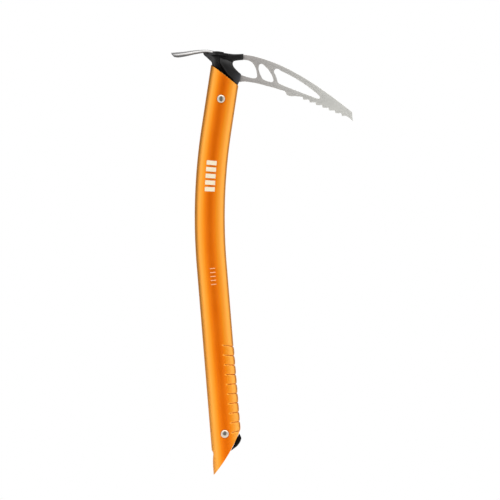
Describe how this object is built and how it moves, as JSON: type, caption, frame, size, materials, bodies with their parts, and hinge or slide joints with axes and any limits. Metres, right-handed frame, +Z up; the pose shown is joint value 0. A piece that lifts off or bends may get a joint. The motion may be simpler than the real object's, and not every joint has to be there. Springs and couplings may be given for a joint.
{
  "type": "ice axe",
  "caption": "Light ice axe: bent oval tube shaft with a grooved grip and bevelled foot, toothed steel pick with windows, arched adze and moulded head.",
  "frame": {"origin": "on the shaft's centreline in the middle of the grip grooves, where the hand closes", "axes": "+X forwards, the way the pick points; +Y to the axe's left; +Z up towards the head, with the shaft upright as it stands in the picture"},
  "size_m": [0.1928, 0.046, 0.4508],
  "materials": {
    "shaft_tube": "satin orange anodised",
    "pick_blade": "bead blasted",
    "adze_blade": "polished",
    "head_block": "fine moulded texture",
    "end_plug": "fine moulded texture",
    "rivets": "polished",
    "bushes": "plain"
  },
  "bodies": {
    "root": {"shaft_tube": "shaft_tube", "pick_blade": "pick_blade", "adze_blade": "adze_blade", "head_block": "head_block", "end_plug": "end_plug", "upper_rivet": "rivets", "lower_rivet": "rivets", "upper_bush_left": "bushes", "upper_bush_right": "bushes", "lower_bush": "bushes"}
  },
  "joints": []
}
